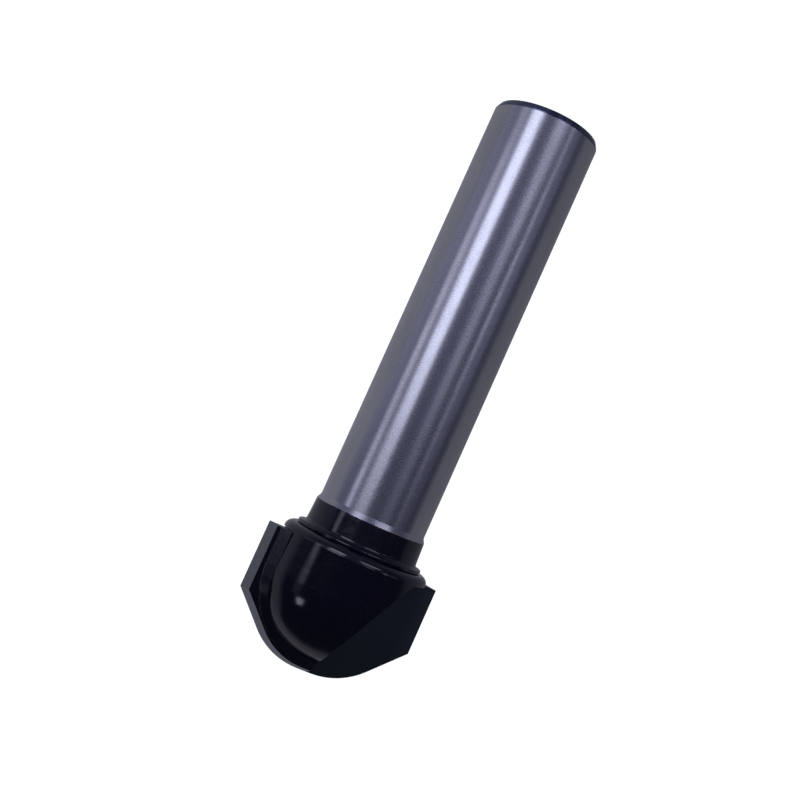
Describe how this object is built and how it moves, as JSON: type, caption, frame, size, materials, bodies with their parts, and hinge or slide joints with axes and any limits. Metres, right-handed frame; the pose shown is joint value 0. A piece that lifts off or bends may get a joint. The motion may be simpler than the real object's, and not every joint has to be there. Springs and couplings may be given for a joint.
{
  "type": "router bit",
  "caption": "Straight-shank router bit with a black rounded head, brazed carbide tips with 45 degree flanks and a rounded nose, and open flutes.",
  "frame": {"origin": "centre of the flat end of the shank, on the tool's axis", "axes": "+Z along the axis from the shank end to the nose; +X towards carbide_tip_1, whose rake face lies in the plane Y = 0 and looks along +Y; carbide_tip_2 is half a turn round"},
  "size_m": [0.021, 0.0176, 0.0682],
  "materials": {
    "body_steel": "ground bright shank; neck, collar and head under a glossy black coat",
    "carbide": "fine ground tungsten carbide",
    "braze": "satin silver solder"
  },
  "bodies": {
    "root": {"tool_body": "body_steel", "carbide_tip_1": "carbide", "carbide_tip_2": "carbide", "braze_film_1": "braze", "braze_film_2": "braze"}
  },
  "joints": []
}
